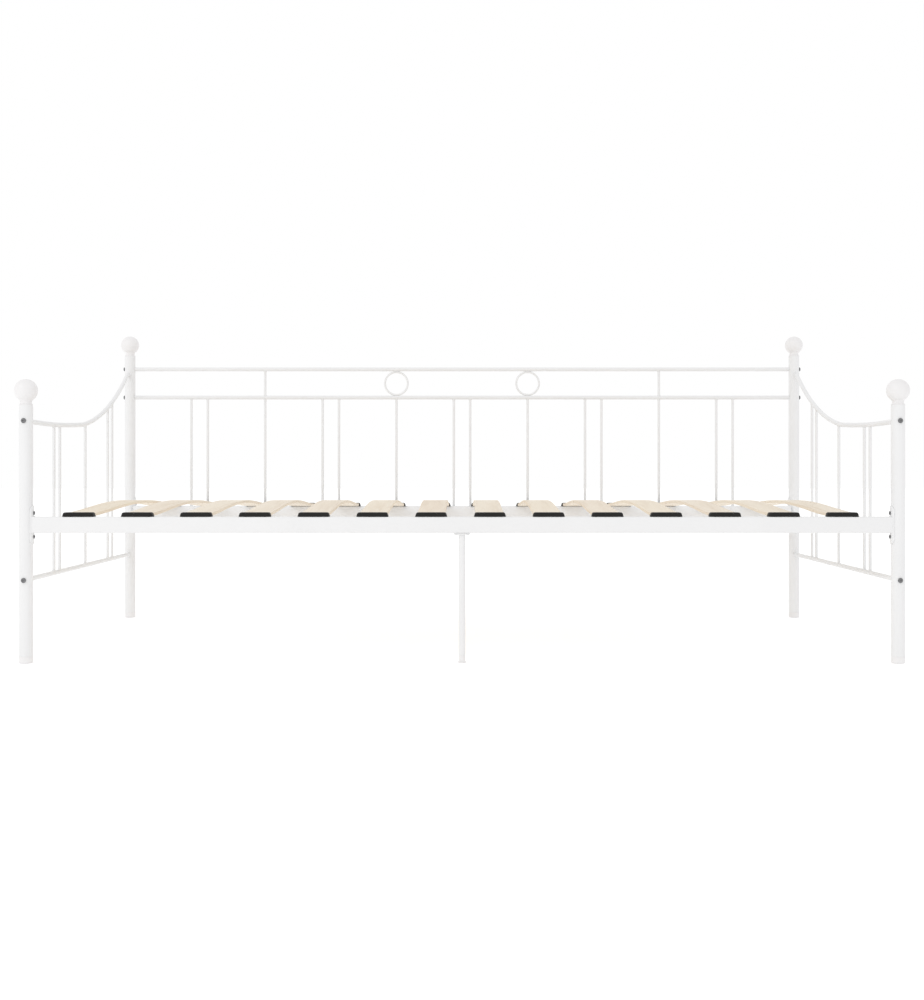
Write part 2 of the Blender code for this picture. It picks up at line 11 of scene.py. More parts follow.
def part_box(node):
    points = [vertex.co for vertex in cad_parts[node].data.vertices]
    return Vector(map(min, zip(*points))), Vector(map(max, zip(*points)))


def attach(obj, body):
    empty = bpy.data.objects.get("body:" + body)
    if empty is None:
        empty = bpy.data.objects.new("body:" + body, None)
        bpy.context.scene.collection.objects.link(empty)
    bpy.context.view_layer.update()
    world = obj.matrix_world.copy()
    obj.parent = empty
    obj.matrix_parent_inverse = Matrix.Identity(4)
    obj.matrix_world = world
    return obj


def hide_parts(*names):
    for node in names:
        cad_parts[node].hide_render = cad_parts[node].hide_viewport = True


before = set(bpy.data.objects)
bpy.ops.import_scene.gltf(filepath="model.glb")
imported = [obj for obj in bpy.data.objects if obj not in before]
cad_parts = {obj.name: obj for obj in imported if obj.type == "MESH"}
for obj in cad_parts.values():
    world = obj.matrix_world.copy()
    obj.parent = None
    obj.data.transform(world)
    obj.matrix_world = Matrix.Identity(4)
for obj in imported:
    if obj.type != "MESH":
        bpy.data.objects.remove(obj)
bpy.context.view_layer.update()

BODY = "frame"
SIDES = (("left", -1), ("right", 1))
ROWS = (("front", -1), ("back", 1))

# Sizes that the frame gives


def centre(node):
    low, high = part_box(node)
    return (low + high) / 2


POST = {}
for row, side_y in ROWS:
    for side, side_x in SIDES:
        POST[row, side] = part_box(f"post_{row}_{side}")
POST_X = centre("post_front_right").x
POST_Y = centre("post_back_right").y
POST_R = (POST["front", "right"][1].x - POST["front", "right"][0].x) / 2
FOOT_TOP = POST["front", "right"][0].z
SLAT_NODES = sorted(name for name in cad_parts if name.startswith("slat_"))

# Clearances: between separate solids, and at the fine seams of moulded parts
GAP = 0.0003
SEAM = 0.0001

# Meshes: edges sharper than this stay sharp when shaded
SHARP_DEG = 38.0
FASTENER_SHARP_DEG = 30.0

# Where Blender's colour mix node has its sockets
MIX_FACTOR, MIX_A, MIX_B, MIX_RESULT = 0, 6, 7, 2

# Posts, ball finials and foot plugs
TUBE_WALL = 0.0015
TUBE_LIP = 0.0002
SPIGOT_R = POST_R - 0.0018
SPIGOT_LEN = 0.020
BALL_R = 0.027
BALL_RISE = 0.0344
BALL_NECK_R = 0.0135
NECK_FILLET = 0.0016
COLLAR_R = 0.0157
COLLAR_H = 0.0022
COLLAR_EDGE_R = 0.0007
PLUG_EDGE_R = 0.0016
PLUG_TOP_EDGE_R = 0.0002
PLUG_HOLLOW_R = POST_R - 0.005
PLUG_HOLLOW_H = 0.0008
PLUG_HOLLOW_SLOPE = 0.001

# Round bars of the panels
RAIL_R = 0.006
SPINDLE_R = 0.004
BAR_SIDES = 28
BEAD_R = 0.0011
BEAD_LIFT = 0.0003
SINK = 0.0004
OVERLAP = 0.001

# End panels
END_RAIL_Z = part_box("end_panel_left")[0].z + RAIL_R
END_TOP_Z = centre("end_bolt_front_left_upper").z
END_PAIR_Y = 0.24
END_PAIR_HALF = 0.0225
TOP_RAIL_MID_Z = 0.582
TOP_RAIL_START_DEG = -1.4
TOP_RAIL_MID_DEG = 3.7
TOP_RAIL_SWEEP_DEG = 8.0
TOP_RAIL_STEEP_DEG = 34.0
TOP_RAIL_BEND_R = 0.020
TOP_RAIL_STRAIGHT = 0.010

# Back panel
BACK_TOP_Z = centre("back_bolt_left_upper").z
BACK_SECOND_Z = centre("back_bolt_left_lower").z
BACK_PITCH = 0.2036
BACK_PAIR_HALF = 0.0254
RING_TUBE_R = 0.0032
RING_OUTER_R = 0.0385

# Slat rails
SADDLE_BOLT_RISE = 0.028
RAIL_Z = centre("saddle_bolt_front_left_lower").z + SADDLE_BOLT_RISE
RAIL_H = 0.038
RAIL_OUT = 0.010
RAIL_IN = 0.020
RAIL_TOP = RAIL_Z + RAIL_H / 2
RAIL_CORNER_R = 0.003
RAIL_SETBACK = 0.0145
RAIL_END = POST_X - RAIL_SETBACK
RAIL_SEAM_R = 0.0014
RAIL_SEAM_INSET = 0.001
SADDLE_IN_R = POST_R + GAP
SADDLE_T = 0.0022
SADDLE_H = 0.090
SADDLE_HALF_DEG = 43.0
SADDLE_FEATHER = 0.85
SADDLE_CORNER_R = 0.012

# Slats and holders
SLAT_MID_Y = centre("slat_01").y
SLAT_W = 0.067
SLAT_T = 0.008
SLAT_HALF_LEN = 0.464
SLAT_END_Z = 0.3498
SLAT_CROWN_Z = 0.3692
SLAT_BOW_POWER = 1.9
SLAT_EDGE_R = 0.002
SLAT_STEPS = 56
PLIES = 7
CAP_W = 0.0762
CAP_TOP_SHARE = 0.92
CAP_REACH = 0.4669
CAP_LEN = 0.028
CAP_H = 0.010
CAP_EDGE_R = 0.003
CAP_MOUTH_SHARE = 0.35
CAP_FLOOR_LEN = 0.014
CAP_CORNER_R = 0.008
POCKET_PLAY = 0.0008
POCKET_EDGE_R = 0.0012
MOUTH_EDGE_R = 0.0008
MOUTH_DROP = SLAT_T * 0.3
PEG_R = 0.0036
PEG_LEN = 0.012
PEG_CHAMFER = 0.0012
PEG_TIP_LEN = 0.0015
PEG_OFFSET = 0.4579

# Centre legs, feet and fasteners
LEG_R = 0.008
LEG_WALL = 0.0015
LEG_LIP = 0.0005
LEG_FILLET = 0.0016
NECK_R = 0.0074
NECK_EDGE = 0.0003
PAD_H = 0.0032
PAD_EDGE_R = 0.0009
PAD_FILLET = 0.0014
NECK_FOOT = PAD_H + 0.0022
FOOT_RIBS = 16
RIB_DEPTH = 0.00035
RIB_LOW = PAD_H + 0.001
RIB_TOP_MARGIN = 0.0002
STUD_R = 0.0039
THREAD_PITCH = 0.00125
THREAD_DEPTH_SHARE = 0.45
FLANGE_W = 0.038
FLANGE_D = 0.024
FLANGE_T = 0.003
FLANGE_EDGE_R = 0.0007
BOLT_HEAD_R = 0.006
BOLT_HEAD_H = 0.0034
SADDLE_HEAD_R = 0.0047
SADDLE_HEAD_H = 0.0018
BOLT_R = 0.003
BOLT_SOCKET_R = 0.002
BOLT_SOCKET_SHARE = 0.56
SCREW_HEAD_R = 0.0042
SCREW_HEAD_H = 0.0019
SCREW_SOCKET_R = 0.0015
SCREW_SOCKET_DEPTH = 0.001
SCREW_R = 0.0022
SOCKET_POINT_SHARE = 0.55
SOCKET_POINT_DEPTH = 0.0004
SOCKET_LIP = 0.0002
SOCKET_LIP_SHARE = 1.22
CROWN_SHARE = 1.3
CROWN_DROP = 0.00005
HEAD_RIM_SHARE = 0.34
HEAD_EDGE = 0.0003
SHANK_CHAMFER = 0.0006


# Mesh helpers: each returns a bmesh, so that pieces can be joined before they become objects


def poured(*parts):
    """One bmesh that holds all the parts."""
    whole = bmesh.new()
    for part in parts:
        scratch = bpy.data.meshes.new("scratch")
        part.to_mesh(scratch)
        part.free()
        whole.from_mesh(scratch)
        bpy.data.meshes.remove(scratch)
    return whole


def rings_to_mesh(rings, closed=False):
    """A skin over rings of points, with a fan at each end unless it closes on itself."""
    bm = bmesh.new()
    made = [[bm.verts.new(point) for point in ring] for ring in rings]
    count = len(made[0])
    last = len(made) if closed else len(made) - 1
    for i in range(last):
        a, b = made[i], made[(i + 1) % len(made)]
        for k in range(count):
            n = (k + 1) % count
            bm.faces.new((a[k], a[n], b[n], b[k]))
    if not closed:
        for ring, flip in ((made[0], True), (made[-1], False)):
            middle = sum((vert.co for vert in ring), Vector()) / count
            hub = bm.verts.new(middle)
            for k in range(count):
                n = (k + 1) % count
                corners = (ring[n], ring[k], hub) if flip else (ring[k], ring[n], hub)
                bm.faces.new(corners)
    bmesh.ops.recalc_face_normals(bm, faces=bm.faces)
    return bm


def pipe(path, radius, side, start=None, end=None):
    """A round bar along a flat path; side is the unit vector across it, start and end reshape its ends."""
    points = [Vector(p) for p in path]
    side = Vector(side)
    rings = []
    for i, point in enumerate(points):
        before, after = points[max(i - 1, 0)], points[min(i + 1, len(points) - 1)]
        tangent = (after - before).normalized()
        other = tangent.cross(side).normalized()
        ring = []
        for k in range(BAR_SIDES):
            t = 2 * math.pi * k / BAR_SIDES
            ring.append(point + side * (radius * math.cos(t)) + other * (radius * math.sin(t)))
        rings.append(ring)
    if start:
        rings[0] = [start(p) for p in rings[0]]
    if end:
        rings[-1] = [end(p) for p in rings[-1]]
    return rings_to_mesh(rings)


def loop_pipe(points, radius, sides=10):
    """A round bead along a closed loop of points."""
    points = [Vector(p) for p in points]
    middle = sum(points, Vector()) / len(points)
    rings = []
    for i, point in enumerate(points):
        tangent = (points[(i + 1) % len(points)] - points[i - 1]).normalized()
        out = point - middle
        out = (out - tangent * out.dot(tangent)).normalized()
        up = tangent.cross(out)
        ring = []
        for k in range(sides):
            t = 2 * math.pi * k / sides
            ring.append(point + out * (radius * math.cos(t)) + up * (radius * math.sin(t)))
        rings.append(ring)
    return rings_to_mesh(rings, closed=True)


def lathe(profile, segments=72):
    """A turned shape about Z from (radius, height) points; a radius of 0 makes a pole."""
    bm = bmesh.new()
    rows = []
    for radius, height in profile:
        if radius == 0:
            rows.append([bm.verts.new((0, 0, height))])
            continue
        row = []
        for k in range(segments):
            t = 2 * math.pi * k / segments
            row.append(bm.verts.new((radius * math.cos(t), radius * math.sin(t), height)))
        rows.append(row)
    for a, b in zip(rows, rows[1:]):
        for k in range(segments):
            n = (k + 1) % segments
            corners = [a[k % len(a)], a[n % len(a)], b[n % len(b)], b[k % len(b)]]
            corners = list(dict.fromkeys(corners))
            if len(corners) > 2:
                bm.faces.new(corners)
    bmesh.ops.recalc_face_normals(bm, faces=bm.faces)
    return bm


def arc(middle, radius, from_deg, to_deg, steps):
    """(radius, height) points of a rounded corner, with angles measured from the +radius direction."""
    points = []
    for i in range(steps + 1):
        t = math.radians(from_deg + (to_deg - from_deg) * i / steps)
        points.append((middle[0] + radius * math.cos(t), middle[1] + radius * math.sin(t)))
    return points


def rounded_section(width, height, radius, steps=5):
    """The outline of a rounded rectangle, as (u, v) points."""
    points = []
    for turn, su, sv in ((0, 1, 1), (90, -1, 1), (180, -1, -1), (270, 1, -1)):
        corner = (su * (width / 2 - radius), sv * (height / 2 - radius))
        points += arc(corner, radius, turn, turn + 90, steps)
    return points


def rounded_box(size, radius, segments):
    bm = bmesh.new()
    bmesh.ops.create_cube(bm, size=1.0)
    bmesh.ops.scale(bm, vec=size, verts=bm.verts)
    bmesh.ops.bevel(
        bm, geom=bm.edges[:], offset=radius, segments=segments, profile=0.5, affect="EDGES"
    )
    return bm


def moved(bm, offset):
    bmesh.ops.translate(bm, vec=Vector(offset), verts=bm.verts)
    return bm


def mesh_from(bm, name, material, sharp_deg=SHARP_DEG):
    mesh = bpy.data.meshes.new(name)
    bm.to_mesh(mesh)
    bm.free()
    mesh.materials.append(material)
    mesh.shade_smooth()
    mesh.set_sharp_from_angle(angle=math.radians(sharp_deg))
    return mesh


def place(mesh, name, body=BODY, at=None, instead_of=()):
    """A piece of the object: it rides on its body and stands for the CAD nodes named."""
    piece = bpy.data.objects.new(name, mesh)
    bpy.context.scene.collection.objects.link(piece)
    if at is not None:
        piece.matrix_world = at
    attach(piece, body)
    if instead_of:
        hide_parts(*instead_of)
    return piece


# Materials


class Nodes:
    """A short way to wire a material's nodes."""

    def __init__(self, name):
        self.material = bpy.data.materials.new(name)
        self.material.use_nodes = True
        self.tree = self.material.node_tree
        self.shader = self.tree.nodes["Principled BSDF"]

    def add(self, kind, **settings):
        node = self.tree.nodes.new(kind)
        for key, value in settings.items():
            setattr(node, key, value)
        return node

    def link(self, a, b):
        self.tree.links.new(a, b)

    def coords(self, scale=(1.0, 1.0, 1.0)):
        where = self.add("ShaderNodeTexCoord")
        mapping = self.add("ShaderNodeMapping")
        mapping.inputs["Scale"].default_value = scale
        self.link(where.outputs["Object"], mapping.inputs["Vector"])
        return mapping.outputs["Vector"]

    def noise(self, vector, scale, detail=4.0, roughness=0.5, distortion=0.0):
        node = self.add("ShaderNodeTexNoise")
        node.inputs["Scale"].default_value = scale
        node.inputs["Detail"].default_value = detail
        node.inputs["Roughness"].default_value = roughness
        node.inputs["Distortion"].default_value = distortion
        self.link(vector, node.inputs["Vector"])
        return node.outputs["Fac"]

    def ramp(self, fac, *stops):
        node = self.add("ShaderNodeValToRGB")
        elements = node.color_ramp.elements
        while len(elements) < len(stops):
            elements.new(0.5)
        for element, (at, colour) in zip(elements, stops):
            element.position = at
            element.color = (*colour, 1.0)
        self.link(fac, node.inputs["Fac"])
        return node.outputs["Color"]

    def spread(self, fac, low, high):
        node = self.add("ShaderNodeMapRange")
        node.inputs["To Min"].default_value = low
        node.inputs["To Max"].default_value = high
        self.link(fac, node.inputs["Value"])
        return node.outputs["Result"]

    def mix(self, fac, a, b, kind="MIX"):
        node = self.add("ShaderNodeMix", data_type="RGBA", blend_type=kind)
        for index, value in ((MIX_FACTOR, fac), (MIX_A, a), (MIX_B, b)):
            if isinstance(value, (int, float)):
                node.inputs[index].default_value = value
            elif isinstance(value, tuple):
                node.inputs[index].default_value = (*value, 1.0)
            else:
                self.link(value, node.inputs[index])
        return node.outputs[MIX_RESULT]

    def bump(self, height, strength, distance, under=None):
        node = self.add("ShaderNodeBump")
        node.inputs["Strength"].default_value = strength
        node.inputs["Distance"].default_value = distance
        self.link(height, node.inputs["Height"])
        if under is not None:
            self.link(under, node.inputs["Normal"])
        return node.outputs["Normal"]

    def finish(self, colour=None, roughness=None, normal=None, **constants):
        for socket, value in (("Base Color", colour), ("Roughness", roughness), ("Normal", normal)):
            if value is not None:
                self.link(value, self.shader.inputs[socket])
        for socket, value in constants.items():
            self.shader.inputs[socket.replace("_", " ")].default_value = value
        return self.material


def white_powder_coat():
    """Satin white powder coat: a fine orange peel over slow, faint changes of tone and gloss."""
    n = Nodes("white_powder_coat")
    where = n.coords()
    slow = n.noise(where, 9.0, 3.0, 0.55)
    colour = n.ramp(slow, (0.3, (0.764, 0.763, 0.766)), (0.7, (0.778, 0.777, 0.780)))
    fine = n.noise(where, 1600.0, 2.0, 0.6)
    peel = n.noise(where, 620.0, 2.0, 0.45)
    roughness = n.spread(slow, 0.44, 0.50)
    normal = n.bump(fine, 0.06, 0.00012)
    normal = n.bump(peel, 0.12, 0.00022, normal)
    return n.finish(colour, roughness, normal, IOR=1.42, Specular_IOR_Level=0.35)


def white_plastic():
    """Moulded white plastic, a little smoother than the coated tubes."""
    n = Nodes("white_plastic")
    where = n.coords()
    slow = n.noise(where, 24.0, 2.0, 0.5)
    colour = n.ramp(slow, (0.3, (0.772, 0.761, 0.762)), (0.7, (0.784, 0.773, 0.774)))
    grain = n.noise(where, 2200.0, 2.0, 0.5)
    roughness = n.spread(slow, 0.38, 0.44)
    return n.finish(
        colour, roughness, n.bump(grain, 0.05, 0.0001), IOR=1.45, Specular_IOR_Level=0.4
    )


def birch_plywood():
    """Pale birch: long grain, fine pores, soft bands, its own tone per board, and plies along the edges."""
    n = Nodes("birch_plywood")
    board = n.add("ShaderNodeObjectInfo").outputs["Random"]
    own = n.add("ShaderNodeVectorMath", operation="SCALE")
    own.inputs[0].default_value = (3.1, 7.7, 5.3)
    n.link(board, own.inputs["Scale"])

    def grain(scale):
        spread = n.coords(scale)
        place_of_its_own = n.add("ShaderNodeVectorMath", operation="ADD")
        n.link(spread, place_of_its_own.inputs[0])
        n.link(own.outputs["Vector"], place_of_its_own.inputs[1])
        return place_of_its_own.outputs["Vector"]

    bands = n.noise(grain((30.0, 1.0, 30.0)), 1.0, 5.0, 0.6, 1.4)
    fibres = n.noise(grain((420.0, 7.0, 420.0)), 1.0, 3.0, 0.65, 0.2)
    pore = n.noise(grain((1500.0, 60.0, 1500.0)), 1.0, 2.0, 0.5)
    base = n.ramp(
        bands,
        (0.25, (0.705, 0.615, 0.500)),
        (0.45, (0.772, 0.690, 0.578)),
        (0.60, (0.802, 0.730, 0.622)),
        (0.80, (0.742, 0.656, 0.540)),
    )
    tint = n.ramp(board, (0.0, (1.0, 0.985, 0.95)), (0.5, (1.0, 1.0, 1.0)), (1.0, (0.975, 0.945, 0.925)))
    base = n.mix(1.0, base, tint, "MULTIPLY")
    streaks = n.ramp(fibres, (0.32, (0.93, 0.905, 0.87)), (0.62, (1.0, 1.0, 1.0)))
    colour = n.mix(0.7, base, streaks, "MULTIPLY")
    pits = n.ramp(pore, (0.24, (0.86, 0.80, 0.73)), (0.34, (1.0, 1.0, 1.0)))
    colour = n.mix(0.4, colour, pits, "MULTIPLY")
    ply = n.add("ShaderNodeAttribute", attribute_name="ply")
    lines = n.add("ShaderNodeMath", operation="SINE")
    n.link(ply.outputs["Fac"], lines.inputs[0])
    ply_tone = n.ramp(lines.outputs["Value"], (0.35, (0.93, 0.90, 0.86)), (0.65, (1.0, 0.99, 0.98)))
    edge = n.add("ShaderNodeAttribute", attribute_name="edge")
    colour = n.mix(edge.outputs["Fac"], colour, n.mix(1.0, colour, ply_tone, "MULTIPLY"))
    roughness = n.spread(fibres, 0.50, 0.66)
    normal = n.bump(fibres, 0.16, 0.0002)
    normal = n.bump(pore, 0.10, 0.00012, normal)
    return n.finish(colour, roughness, normal, IOR=1.42)


def black_plastic():
    """Near-black moulded holders with a fine spark-eroded grain."""
    n = Nodes("black_plastic")
    where = n.coords()
    slow = n.noise(where, 60.0, 3.0, 0.5)
    colour = n.ramp(slow, (0.3, (0.0085, 0.0078, 0.0072)), (0.7, (0.013, 0.012, 0.011)))
    grain = n.noise(where, 1800.0, 3.0, 0.6)
    roughness = n.spread(slow, 0.50, 0.62)
    return n.finish(
        colour, roughness, n.bump(grain, 0.3, 0.0002), Specular_IOR_Level=0.22
    )


def dark_zinc_steel():
    """Dark plated steel: faint turning marks and small changes of gloss."""
    n = Nodes("dark_zinc_steel")
    where = n.coords()
    slow = n.noise(where, 180.0, 3.0, 0.6)
    colour = n.ramp(slow, (0.3, (0.17, 0.17, 0.175)), (0.7, (0.23, 0.23, 0.235)))
    fine = n.noise(where, 2600.0, 2.0, 0.6)
    roughness = n.spread(slow, 0.32, 0.48)
    return n.finish(colour, roughness, n.bump(fine, 0.12, 0.0001), Metallic=0.85)


WHITE = white_powder_coat()
PLASTIC = white_plastic()
BIRCH = birch_plywood()
BLACK = black_plastic()
STEEL = dark_zinc_steel()


# Posts, finials and foot plugs


def make_posts():
    for (row, side), (low, high) in POST.items():
        inner, lip = POST_R - TUBE_WALL, TUBE_LIP
        profile = [(inner, low.z + lip)]
        profile += [(inner + lip, low.z), (POST_R - lip, low.z), (POST_R, low.z + lip)]
        profile += [(POST_R, high.z - lip), (POST_R - lip, high.z), (inner + lip, high.z)]
        profile += [(inner, high.z - lip), (inner, low.z + lip)]
        bm = lathe(profile)
        bmesh.ops.remove_doubles(bm, verts=bm.verts, dist=1e-6)
        middle = (low + high) / 2
        moved(bm, (middle.x, middle.y, 0))
        mesh = mesh_from(bm, f"post_tube_{row}_{side}", WHITE)
        place(mesh, f"post_tube_{row}_{side}",
              instead_of=[f"post_{row}_{side}"])


def finial_profile():
    """From the ball's crown down through the neck and collar to the spigot, with z = 0 at the tube's top."""
    neck_deg = math.degrees(math.asin(BALL_NECK_R / BALL_R))
    ball_foot = BALL_RISE - BALL_R * math.cos(math.radians(neck_deg))
    fillet_at = BALL_NECK_R + NECK_FILLET
    collar_top = SEAM + COLLAR_H
    edge = COLLAR_EDGE_R
    profile = [(0, BALL_RISE + BALL_R)]
    profile += arc((0, BALL_RISE), BALL_R, 88.0, neck_deg - 90.0 + 3.0, 40)
    profile += arc((fillet_at, ball_foot - NECK_FILLET * 1.2), NECK_FILLET, 150.0, 180.0, 4)
    profile += arc((fillet_at, collar_top + NECK_FILLET), NECK_FILLET, 180.0, 262.0, 6)
    profile += arc((COLLAR_R - edge, collar_top - edge), edge, 90.0, 0.0, 4)
    profile += [(COLLAR_R, SEAM), (SPIGOT_R, SEAM)]
    profile += [(SPIGOT_R, SEAM - SPIGOT_LEN), (0, SEAM - SPIGOT_LEN)]
    return profile


def make_finials():
    mesh = mesh_from(lathe(finial_profile(), 96), "ball_finial", PLASTIC)
    for (row, side), (low, high) in POST.items():
        middle = (low + high) / 2
        at = Matrix.Translation((middle.x, middle.y, high.z))
        place(mesh, f"ball_finial_{row}_{side}", at=at,
              instead_of=[f"finial_{row}_{side}"])


def make_foot_plugs():
    seat = FOOT_TOP - SEAM
    top_edge, edge = PLUG_TOP_EDGE_R, PLUG_EDGE_R
    profile = [(0, seat + SPIGOT_LEN), (SPIGOT_R, seat + SPIGOT_LEN), (SPIGOT_R, seat)]
    profile += arc((POST_R - top_edge, seat - top_edge), top_edge, 90.0, 0.0, 3)
    profile += arc((POST_R - edge, edge), edge, 0.0, -90.0, 5)
    profile += [(PLUG_HOLLOW_R + PLUG_HOLLOW_SLOPE, 0), (PLUG_HOLLOW_R, PLUG_HOLLOW_H), (0, PLUG_HOLLOW_H)]
    mesh = mesh_from(lathe(profile), "foot_plug", PLASTIC)
    for (row, side), (low, high) in POST.items():
        middle = (low + high) / 2
        at = Matrix.Translation((middle.x, middle.y, 0))
        place(mesh, f"foot_cap_{row}_{side}", at=at,
              instead_of=[f"foot_plug_{row}_{side}"])


# The end panels' top rail, along the same arcs as the CAD solid


def arc_run(start, from_deg, to_deg, run, steps):
    """Points (y, z) of an arc that runs this far along Y while its slope turns between the angles."""
    a, b = math.radians(from_deg), math.radians(to_deg)
    radius = run / (math.sin(b) - math.sin(a))
    points = []
    for i in range(1, steps + 1):
        t = a + (b - a) * i / steps
        y = start[0] + radius * (math.sin(t) - math.sin(a))
        z = start[1] + radius * (math.cos(a) - math.cos(t))
        points.append((y, z))
    return points


def top_rail_path():
    end_y = POST_Y - POST_R - GAP
    bend_run = TOP_RAIL_BEND_R * math.sin(math.radians(TOP_RAIL_STEEP_DEG))
    sweep_run = end_y - TOP_RAIL_STRAIGHT - bend_run
    path = [(-end_y, END_TOP_Z)]
    path += arc_run(path[-1], TOP_RAIL_START_DEG, TOP_RAIL_MID_DEG, end_y, 24)
    path[-1] = (0.0, TOP_RAIL_MID_Z)
    path += arc_run(path[-1], TOP_RAIL_SWEEP_DEG, TOP_RAIL_STEEP_DEG, sweep_run, 36)
    path += arc_run(path[-1], TOP_RAIL_STEEP_DEG, 0.0, bend_run, 10)
    path.append((end_y, path[-1][1]))
    return path


TOP_RAIL = top_rail_path()


def top_rail_at(y):
    """(height, slope angle) of the top rail's centre line at this y."""
    for (y0, z0), (y1, z1) in zip(TOP_RAIL, TOP_RAIL[1:]):
        if y0 <= y <= y1:
            return z0 + (z1 - z0) * (y - y0) / (y1 - y0), math.atan2(z1 - z0, y1 - y0)
    return TOP_RAIL[-1][1], 0.0


def across(distance, radius):
    """Half the chord of a circle at this distance from its middle."""
    return math.sqrt(max(radius**2 - distance**2, 0.0))


def saddle_bead(spindle_at, rail_height, lift):
    """A weld bead round a spindle where it meets a rail. spindle_at places a point from (du, dv)."""
    points = []
    for k in range(BAR_SIDES):
        t = 2 * math.pi * k / BAR_SIDES
        du, dv = SPINDLE_R * math.cos(t), SPINDLE_R * math.sin(t)
        points.append(spindle_at(du, dv, rail_height(du, dv) + lift))
    return loop_pipe(points, BEAD_R)


def make_end_panels():
    for side, side_x in SIDES:
        x = side_x * POST_X

        def to_post(p, x=x):
            reach = POST_Y - across(p.x - x, POST_R + GAP)
            return Vector((p.x, math.copysign(reach, p.y), p.z))

        line = [(x, y, z) for y, z in TOP_RAIL]
        parts = [pipe(line, RAIL_R, (1, 0, 0), start=to_post, end=to_post)]
        end_y = POST_Y - POST_R
        bottom = [(x, -end_y, END_RAIL_Z), (x, 0, END_RAIL_Z), (x, end_y, END_RAIL_Z)]
        parts.append(pipe(bottom, RAIL_R, (1, 0, 0), start=to_post, end=to_post))
        spindle_ys = [0.0]
        for half in (-1, 1):
            spindle_ys += [half * END_PAIR_Y - END_PAIR_HALF, half * END_PAIR_Y + END_PAIR_HALF]
        for y in spindle_ys:

            def to_bottom(p, x=x):
                return Vector((p.x, p.y, END_RAIL_Z + across(p.x - x, RAIL_R) - SINK))

            def to_top(p, x=x):
                height, slope = top_rail_at(p.y)
                return Vector((p.x, p.y, height - across(p.x - x, RAIL_R) / math.cos(slope) + SINK))

            def at(du, dv, z, x=x, y=y):
                return (x + du, y + dv, z)

            high = top_rail_at(y)[0] - RAIL_R - 2 * OVERLAP
            shaft = [(x, y, END_RAIL_Z + RAIL_R), (x, y, high)]
            parts.append(pipe(shaft, SPINDLE_R, (1, 0, 0), start=to_bottom, end=to_top))
            parts.append(saddle_bead(at, lambda du, dv: END_RAIL_Z + across(du, RAIL_R), SINK))

            def under_top(du, dv, y=y):
                height, slope = top_rail_at(y + dv)
                return height - across(du, RAIL_R) / math.cos(slope)

            parts.append(saddle_bead(at, under_top, -SINK))
        name = f"end_panel_{side}"
        mesh = mesh_from(poured(*parts), f"welded_{name}", WHITE)
        place(mesh, f"welded_{name}", instead_of=[name])


# Slat rails, with their saddle plates


def saddle_plate(side_x, y):
    """A plate bent round the post, its corners rounded and its sides feathered; u runs round and v up."""
    x = side_x * POST_X
    outer = SADDLE_IN_R + SADDLE_T
    half_u = math.radians(SADDLE_HALF_DEG) * outer
    columns, rows = 40, 36
    bm = bmesh.new()

    def half_height(u):
        """Half the plate's height at this distance round from its middle."""
        past = abs(u) - (half_u - SADDLE_CORNER_R)
        if past <= 0:
            return SADDLE_H / 2
        return SADDLE_H / 2 - SADDLE_CORNER_R + across(past, SADDLE_CORNER_R)

    def skin(thickness):
        grid = []
        for i in range(columns + 1):
            share = math.sin(math.pi * (i / columns - 0.5))
            radius = SADDLE_IN_R + thickness * (1 - SADDLE_FEATHER * share**6)
            u = half_u * share
            angle = u / outer
            tall = half_height(u)
            column = []
            for j in range(rows + 1):
                v = tall * (2 * j / rows - 1)
                column.append(
                    bm.verts.new((x - side_x * radius * math.cos(angle),
                                  y + radius * math.sin(angle), RAIL_Z + v))
                )
            grid.append(column)
        return grid

    inside, outside = skin(0.0), skin(SADDLE_T)
    for grid in (inside, outside):
        for i in range(columns):
            for j in range(rows):
                bm.faces.new((grid[i][j], grid[i + 1][j], grid[i + 1][j + 1], grid[i][j + 1]))
    rim_in = [col[0] for col in inside] + inside[-1][1:] + [col[-1] for col in inside[-2::-1]]
    rim_out = [col[0] for col in outside] + outside[-1][1:] + [col[-1] for col in outside[-2::-1]]
    rim_in += inside[0][-2:0:-1]
    rim_out += outside[0][-2:0:-1]
    for k in range(len(rim_in)):
        n = (k + 1) % len(rim_in)
        bm.faces.new((rim_in[k], rim_in[n], rim_out[n], rim_out[k]))
    bmesh.ops.recalc_face_normals(bm, faces=bm.faces)
    return bm


def slat_rail(y, inward):
    """A rounded rectangular rail with a saddle plate and a weld bead at each end."""
    depth = RAIL_OUT + RAIL_IN
    mid_y = y + inward * (RAIL_IN - RAIL_OUT) / 2
    section = rounded_section(depth, RAIL_H, RAIL_CORNER_R)
    rings = []
    for x in (-RAIL_END, -RAIL_END / 2, 0, RAIL_END / 2, RAIL_END):
        rings.append([Vector((x, mid_y + u, RAIL_Z + v)) for u, v in section])
    parts = [rings_to_mesh(rings)]
    seam_section = rounded_section(depth - RAIL_SEAM_INSET, RAIL_H - RAIL_SEAM_INSET, RAIL_CORNER_R, 6)
    for _side, side_x in SIDES:
        parts.append(saddle_plate(side_x, y))
        seam = []
        for u, v in seam_section:
            reach = across(mid_y + u - y, SADDLE_IN_R + SADDLE_T)
            seam_x = side_x * (POST_X - max(reach, RAIL_SETBACK))
            seam.append((seam_x, mid_y + u, RAIL_Z + v))
        parts.append(loop_pipe(seam, RAIL_SEAM_R))
    return parts


def make_front_rail():
    mesh = mesh_from(poured(*slat_rail(-POST_Y, 1)), "welded_front_rail", WHITE)
    place(mesh, "welded_front_rail", instead_of=["front_rail"])


def ring_mesh(x):
    middle_z = (BACK_TOP_Z + BACK_SECOND_Z) / 2
    major = RING_OUTER_R - RING_TUBE_R
    points = []
    for k in range(72):
        t = 2 * math.pi * k / 72
        points.append((x + major * math.cos(t), POST_Y, middle_z + major * math.sin(t)))
    return loop_pipe(points, RING_TUBE_R, 20)


